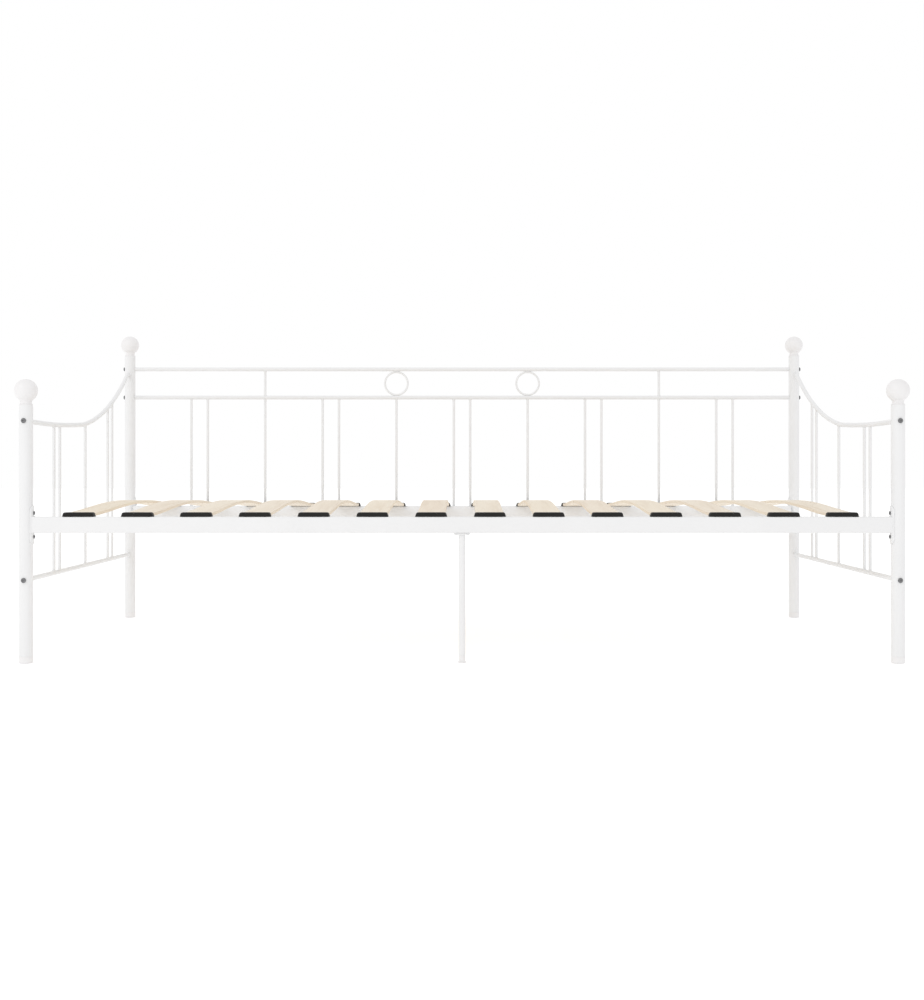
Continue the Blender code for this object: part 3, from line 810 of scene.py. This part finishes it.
def make_back_panel():
    y = POST_Y
    parts = slat_rail(y, -1)

    def to_post(p):
        reach = POST_X - across(p.y - y, POST_R + GAP)
        return Vector((math.copysign(reach, p.x), p.y, p.z))

    half = POST_X - POST_R
    for z in (BACK_TOP_Z, BACK_SECOND_Z):
        parts.append(
            pipe([(-half, y, z), (0, y, z), (half, y, z)], RAIL_R, (0, 0, 1), start=to_post, end=to_post)
        )

    def over(z):
        return lambda p: Vector((p.x, p.y, z + across(p.y - y, RAIL_R) - SINK))

    def under(z):
        return lambda p: Vector((p.x, p.y, z - across(p.y - y, RAIL_R) + SINK))

    for side in (-1, 1):
        offsets = [BACK_PAIR_HALF, BACK_PITCH, 3 * BACK_PITCH]
        for pair in (2, 4):
            offsets += [pair * BACK_PITCH - BACK_PAIR_HALF, pair * BACK_PITCH + BACK_PAIR_HALF]
        for offset in offsets:
            x = side * offset

            def at(du, dv, z, x=x):
                return (x + du, y + dv, z)

            shaft = [(x, y, RAIL_TOP - SINK), (x, y, BACK_SECOND_Z - RAIL_R - OVERLAP)]
            parts.append(pipe(shaft, SPINDLE_R, (1, 0, 0), end=under(BACK_SECOND_Z)))
            parts.append(saddle_bead(at, lambda du, dv: RAIL_TOP, BEAD_LIFT))
            parts.append(
                saddle_bead(at, lambda du, dv: BACK_SECOND_Z - across(dv, RAIL_R), -SINK)
            )
        x = side * 3 * BACK_PITCH

        def strut_at(du, dv, z, x=x):
            return (x + du, y + dv, z)

        shaft = [(x, y, BACK_SECOND_Z + RAIL_R), (x, y, BACK_TOP_Z - RAIL_R - OVERLAP)]
        parts.append(
            pipe(shaft, SPINDLE_R, (1, 0, 0), start=over(BACK_SECOND_Z), end=under(BACK_TOP_Z))
        )
        parts.append(saddle_bead(strut_at, lambda du, dv: BACK_SECOND_Z + across(dv, RAIL_R), SINK))
        parts.append(saddle_bead(strut_at, lambda du, dv: BACK_TOP_Z - across(dv, RAIL_R), -SINK))
        parts.append(ring_mesh(side * BACK_PITCH))
    mesh = mesh_from(poured(*parts), "welded_back_panel", WHITE)
    place(mesh, "welded_back_panel", instead_of=["back_panel"])


# Slats and their holders


def slat_arc(y):
    """(height of the slat's middle surface, slope angle) at this distance from its middle."""
    bow = SLAT_CROWN_Z - SLAT_END_Z
    share = max(1 - (y / SLAT_HALF_LEN) ** 2, 0.0)
    slope = -2 * bow * SLAT_BOW_POWER * share ** (SLAT_BOW_POWER - 1) * y / SLAT_HALF_LEN**2
    return SLAT_END_Z + bow * share**SLAT_BOW_POWER, math.atan(slope)


def slat_mesh():
    """A bowed board centred on its own origin; "ply" climbs through its thickness, "edge" marks its sides."""
    section = rounded_section(SLAT_W, SLAT_T, SLAT_EDGE_R, 4)
    rings = []
    for i in range(SLAT_STEPS + 1):
        y = SLAT_HALF_LEN * (2 * i / SLAT_STEPS - 1)
        z, slope = slat_arc(y)
        rings.append(
            [Vector((u, y - v * math.sin(slope), z + v * math.cos(slope))) for u, v in section]
        )
    bm = rings_to_mesh(rings)
    ply = bm.verts.layers.float.new("ply")
    edge = bm.verts.layers.float.new("edge")
    for vert in bm.verts:
        v = vert.co.z - slat_arc(vert.co.y)[0]
        vert[ply] = math.pi * PLIES * (v / SLAT_T + 0.5)
        vert[edge] = 1.0 if abs(vert.co.x) > SLAT_W / 2 - SLAT_EDGE_R * 0.3 else 0.0
    return bm


def holder_blank():
    """The holder before its pocket is cut: rounded in plan and along its top, and narrower at the top."""
    plan = rounded_section(CAP_W, CAP_LEN, CAP_CORNER_R, 8)
    levels = [(0.0, CAP_EDGE_R * 0.4)]
    for i in range(6):
        t = math.radians(90.0 * i / 5)
        levels.append((1 - CAP_EDGE_R * (1 - math.sin(t)) / CAP_H, CAP_EDGE_R * (1 - math.cos(t))))
    levels.insert(1, (0.06, 0.0))
    rings = []
    for share, inset in levels:
        ring = []
        taper = 1 - (1 - CAP_TOP_SHARE) * share
        for u, v in plan:
            x = math.copysign(abs(u) - inset, u) * taper
            y = v - inset * CAP_MOUTH_SHARE if v > 0 else v + inset
            ring.append(Vector((x, y + CAP_LEN / 2, share * CAP_H)))
        rings.append(ring)
    return rings_to_mesh(rings)


def holder_mesh():
    """A slat holder with its outer end at y = 0, its mouth towards +Y and its underside at z = 0."""
    outer = mesh_from(holder_blank(), "slat_holder", BLACK)
    room = Vector((SLAT_W + POCKET_PLAY, CAP_LEN, SLAT_T + POCKET_PLAY))
    pocket = rounded_box(room, POCKET_EDGE_R, 3)
    rise = SLAT_END_Z - (RAIL_TOP + GAP)
    moved(pocket, (0, CAP_LEN / 2 + CAP_REACH - SLAT_HALF_LEN - GAP, rise + SEAM))
    peg_profile = [(0, OVERLAP), (PEG_R, OVERLAP), (PEG_R, -PEG_LEN + PEG_TIP_LEN)]
    peg_profile += [(PEG_R - PEG_CHAMFER, -PEG_LEN), (0, -PEG_LEN)]
    peg = moved(lathe(peg_profile, 24), (0, CAP_REACH - PEG_OFFSET, 0))
    mouth = rounded_box(Vector((SLAT_W + POCKET_PLAY, CAP_LEN, SLAT_T)), MOUTH_EDGE_R, 2)
    moved(mouth, (0, CAP_LEN / 2 + CAP_FLOOR_LEN, rise - MOUTH_DROP))
    blank = bpy.data.objects.new("holder_blank", outer)
    bpy.context.scene.collection.objects.link(blank)
    tools = []
    for name, bm, operation in (("holder_pocket", pocket, "DIFFERENCE"),
                                ("holder_mouth", mouth, "DIFFERENCE"),
                                ("holder_peg", peg, "UNION")):
        tool = bpy.data.objects.new(name, mesh_from(bm, name, BLACK))
        bpy.context.scene.collection.objects.link(tool)
        step = blank.modifiers.new(name, "BOOLEAN")
        step.operation = operation
        step.object = tool
        tools.append(tool)
    bpy.context.view_layer.update()
    graph = bpy.context.evaluated_depsgraph_get()
    mesh = bpy.data.meshes.new_from_object(blank.evaluated_get(graph))
    for obj in (blank, *tools):
        bpy.data.objects.remove(obj, do_unlink=True)
    mesh.name = "slat_holder"
    mesh.shade_smooth()
    mesh.set_sharp_from_angle(angle=math.radians(SHARP_DEG))
    return mesh


def make_slats():
    holder = holder_mesh()
    for node in SLAT_NODES:
        x = centre(node).x
        mesh = mesh_from(slat_mesh(), f"{node}_board", BIRCH)
        place(mesh, f"{node}_board",
              at=Matrix.Translation((x, SLAT_MID_Y, 0)), instead_of=[node])
        for row, side_y in ROWS:
            turn = Matrix.Rotation(math.pi if side_y > 0 else 0.0, 4, "Z")
            y = SLAT_MID_Y + side_y * CAP_REACH
            at = Matrix.Translation((x, y, RAIL_TOP + GAP)) @ turn
            place(holder, f"{node}_holder_{row}", at=at)


# Centre legs and levelling feet


def make_legs():
    for row, side_y in ROWS:
        node = f"centre_leg_{row}"
        low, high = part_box(node)
        middle = (low + high) / 2
        inner, lip, fillet = LEG_R - LEG_WALL, LEG_LIP, LEG_FILLET
        top = high.z - FLANGE_T
        profile = [(inner, top), (inner, low.z + lip)]
        profile += [(inner + lip, low.z), (LEG_R - lip, low.z), (LEG_R, low.z + lip)]
        profile += [(LEG_R, top - fillet * 0.75)]
        profile += arc((LEG_R + fillet, top - fillet), fillet, 180.0, 90.0, 5)
        tube = lathe(profile, 48)
        flange = rounded_box((FLANGE_W, FLANGE_D, FLANGE_T), FLANGE_EDGE_R, 2)
        moved(flange, (0, 0, high.z - FLANGE_T / 2))
        bm = moved(poured(tube, flange), (middle.x, middle.y, 0))
        place(mesh_from(bm, f"leg_tube_{row}", WHITE), f"leg_tube_{row}",
              instead_of=[node])
        make_levelling_foot(row)


def make_levelling_foot(row):
    """A moulded pad with a ribbed neck, and the threaded stud that screws up into the leg."""
    node = f"levelling_foot_{row}"
    low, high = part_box(node)
    middle = (low + high) / 2
    neck_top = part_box(f"centre_leg_{row}")[0].z - SEAM
    pad_r, segments = (high.x - low.x) / 2, 96
    corner = pad_r - PAD_EDGE_R
    outline = [(NECK_R - NECK_EDGE, neck_top), (NECK_R, neck_top - NECK_EDGE), (NECK_R, NECK_FOOT)]
    outline += arc((NECK_R + PAD_FILLET, PAD_H + PAD_FILLET), PAD_FILLET, 180.0, 260.0, 5)
    outline += arc((corner, PAD_H - PAD_EDGE_R), PAD_EDGE_R, 85.0, 0.0, 4)
    outline += arc((corner, PAD_EDGE_R), PAD_EDGE_R, 0.0, -90.0, 4)
    rings = []
    for radius, z in outline:
        ring = []
        for k in range(segments):
            t = 2 * math.pi * k / segments
            groove = RIB_DEPTH * (0.5 - 0.5 * math.cos(FOOT_RIBS * t))
            deep = groove if RIB_LOW < z < neck_top - RIB_TOP_MARGIN else 0.0
            ring.append(Vector(((radius - deep) * math.cos(t), (radius - deep) * math.sin(t), z)))
        rings.append(ring)
    pad = moved(rings_to_mesh(rings), (middle.x, middle.y, 0))
    place(mesh_from(pad, f"foot_pad_{row}", PLASTIC), f"foot_pad_{row}",
          body=f"{row}_foot", instead_of=[node])
    stud = thread_mesh(f"foot_stud_{row}", neck_top - 2 * OVERLAP, high.z, (middle.x, middle.y))
    place(stud, f"foot_stud_{row}", body=f"{row}_foot")


def thread_mesh(name, low, high, at):
    """A threaded rod: its rings swell and shrink once a turn, and the crest climbs round it."""
    around, per_pitch = 32, 8
    steps = round((high - low) / THREAD_PITCH * per_pitch)
    depth = THREAD_PITCH * THREAD_DEPTH_SHARE
    rings = []
    for i in range(steps + 1):
        z = low + (high - low) * i / steps
        ring = []
        for k in range(around):
            phase = ((z - low) / THREAD_PITCH - k / around) % 1.0
            r = STUD_R - depth * abs(2 * phase - 1)
            if i in (0, steps):
                r = STUD_R - depth
            t = 2 * math.pi * k / around
            ring.append(Vector((at[0] + r * math.cos(t), at[1] + r * math.sin(t), z)))
        rings.append(ring)
    return mesh_from(rings_to_mesh(rings), name, STEEL)


# Fasteners


def button_head(head_r, head_h, shank_r, shank_len, socket_r, socket_depth):
    """A domed head with a hexagon socket; its underside is at z = 0 and its shank runs down."""
    segments, dome_steps = 48, 8

    def outline(radius, z, hexagonal=False):
        ring = []
        for k in range(segments):
            t = 2 * math.pi * k / segments
            from_flat = (t % (math.pi / 3)) - math.pi / 6
            reach = radius / math.cos(from_flat) if hexagonal else radius
            ring.append(Vector((reach * math.cos(t), reach * math.sin(t), z)))
        return ring

    floor = head_h - socket_depth
    rows = [outline(socket_r * SOCKET_POINT_SHARE, floor - SOCKET_POINT_DEPTH, True)]
    rows += [outline(socket_r, floor, True), outline(socket_r, head_h - SOCKET_LIP, True)]
    rows.append(outline(socket_r * SOCKET_LIP_SHARE, head_h))
    rim = head_h * HEAD_RIM_SHARE
    crown_r = socket_r * CROWN_SHARE
    for i in range(dome_steps + 1):
        t = math.radians(90.0 * (1 - i / dome_steps))
        radius = crown_r + (head_r - crown_r) * math.cos(t)
        rows.append(outline(radius, rim + (head_h - CROWN_DROP - rim) * math.sin(t)))
    rows += [outline(head_r, HEAD_EDGE), outline(head_r - HEAD_EDGE, 0), outline(shank_r, 0)]
    rows.append(outline(shank_r, -shank_len + SHANK_CHAMFER))
    rows.append(outline(shank_r - SHANK_CHAMFER, -shank_len))
    return rings_to_mesh(rows)


def make_fasteners():
    long_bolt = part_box("end_bolt_front_left_lower")
    short_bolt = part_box("saddle_bolt_front_left_lower")
    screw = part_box("leg_screw_front_left")
    lengths = {
        "long": long_bolt[1].y - long_bolt[0].y - BOLT_HEAD_H,
        "short": short_bolt[1].x - short_bolt[0].x - SADDLE_HEAD_H,
        "screw": screw[1].z - screw[0].z - SCREW_HEAD_H,
    }
    meshes = {}
    heads = {"long": (BOLT_HEAD_R, BOLT_HEAD_H), "short": (SADDLE_HEAD_R, SADDLE_HEAD_H)}
    for kind, (head_r, head_h) in heads.items():
        depth = head_h * BOLT_SOCKET_SHARE
        bm = button_head(head_r, head_h, BOLT_R, lengths[kind], BOLT_SOCKET_R, depth)
        meshes[kind] = mesh_from(bm, f"button_bolt_{kind}", STEEL, FASTENER_SHARP_DEG)
    bm = button_head(SCREW_HEAD_R, SCREW_HEAD_H, SCREW_R, lengths["screw"], SCREW_SOCKET_R,
                     SCREW_SOCKET_DEPTH)
    meshes["screw"] = mesh_from(bm, "flange_screw", WHITE, FASTENER_SHARP_DEG)
    for row, side_y in ROWS:
        for side, side_x in SIDES:
            for level in ("lower", "upper"):
                fasten(meshes["long"], f"end_bolt_{row}_{side}_{level}", (0, side_y, 0))
                fasten(meshes["short"], f"saddle_bolt_{row}_{side}_{level}", (-side_x, 0, 0),
                       SADDLE_HEAD_H)
            fasten(meshes["screw"], f"leg_screw_{row}_{side}", (0, 0, -1), SCREW_HEAD_H,
                   "coated")
    for side, side_x in SIDES:
        for level in ("lower", "upper"):
            fasten(meshes["long"], f"back_bolt_{side}_{level}", (side_x, 0, 0))


def fasten(mesh, node, outward, head_h=BOLT_HEAD_H, finish="plated"):
    """Puts a bolt where its CAD solid is: outward points from the shank to the head."""
    low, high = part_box(node)
    out = Vector(outward)
    middle = (low + high) / 2
    half = abs((high - low).dot(out)) / 2
    seat = middle + out * (half - head_h)
    turn = out.to_track_quat("Z", "Y").to_matrix().to_4x4()
    place(mesh, f"{finish}_{node}", at=Matrix.Translation(seat) @ turn, instead_of=[node])


make_posts()
make_finials()
make_foot_plugs()
make_end_panels()
make_front_rail()
make_back_panel()
make_slats()
make_legs()
make_fasteners()


# Studio: a white sweep of light, a pale floor and a soft key from the upper left

FLOOR_HALF = 30.0
FLOOR_DROP = 0.0005
FLOOR_TONE = 0.8
FLOOR_ROUGHNESS = 0.9
FLOOR_GLOW = 0.32
KEY_AT = (-4.0, -4.5, 4.5)
KEY_AIM = (0.0, 0.0, 0.4)
KEY_SIZE = 3.0
KEY_POWER = 60.0
SENSOR = 36.0
LENS = 45.155
LENS_SHIFT_Y = -0.0285
CAMERA_AT = (0.0, -3.428, 0.452)


def make_floor():
    bm = bmesh.new()
    bmesh.ops.create_grid(bm, x_segments=1, y_segments=1, size=FLOOR_HALF)
    n = Nodes("studio_floor")
    n.shader.inputs["Base Color"].default_value = (FLOOR_TONE, FLOOR_TONE, FLOOR_TONE, 1.0)
    n.shader.inputs["Roughness"].default_value = FLOOR_ROUGHNESS
    n.shader.inputs["Specular IOR Level"].default_value = 0.0
    n.shader.inputs["Emission Color"].default_value = (1.0, 1.0, 1.0, 1.0)
    n.shader.inputs["Emission Strength"].default_value = FLOOR_GLOW
    mesh = bpy.data.meshes.new("studio_floor")
    bm.to_mesh(mesh)
    bm.free()
    mesh.materials.append(n.material)
    floor = bpy.data.objects.new("studio_floor", mesh)
    floor.location.z = -FLOOR_DROP
    bpy.context.scene.collection.objects.link(floor)


def make_key_light():
    data = bpy.data.lights.new("key", "AREA")
    data.shape = "DISK"
    data.size = KEY_SIZE
    data.energy = KEY_POWER
    light = bpy.data.objects.new("key", data)
    light.location = KEY_AT
    aim = Vector(KEY_AIM) - Vector(KEY_AT)
    light.rotation_mode = "QUATERNION"
    light.rotation_quaternion = aim.to_track_quat("-Z", "Y")
    bpy.context.scene.collection.objects.link(light)


def make_studio():
    world = bpy.data.worlds.new("studio")
    bpy.context.scene.world = world
    world.use_nodes = True
    background = world.node_tree.nodes["Background"]
    background.inputs["Color"].default_value = (1.0, 1.0, 1.0, 1.0)
    background.inputs["Strength"].default_value = 1.0
    make_key_light()
    make_floor()
    bpy.context.scene.view_settings.view_transform = "Standard"


def make_camera():
    data = bpy.data.cameras.new("camera")
    data.sensor_width = SENSOR
    data.lens = LENS
    data.shift_y = LENS_SHIFT_Y
    camera = bpy.data.objects.new("camera", data)
    camera.location = CAMERA_AT
    camera.rotation_euler = (math.pi / 2, 0.0, 0.0)
    bpy.context.scene.collection.objects.link(camera)
    bpy.context.scene.camera = camera


make_studio()
make_camera()
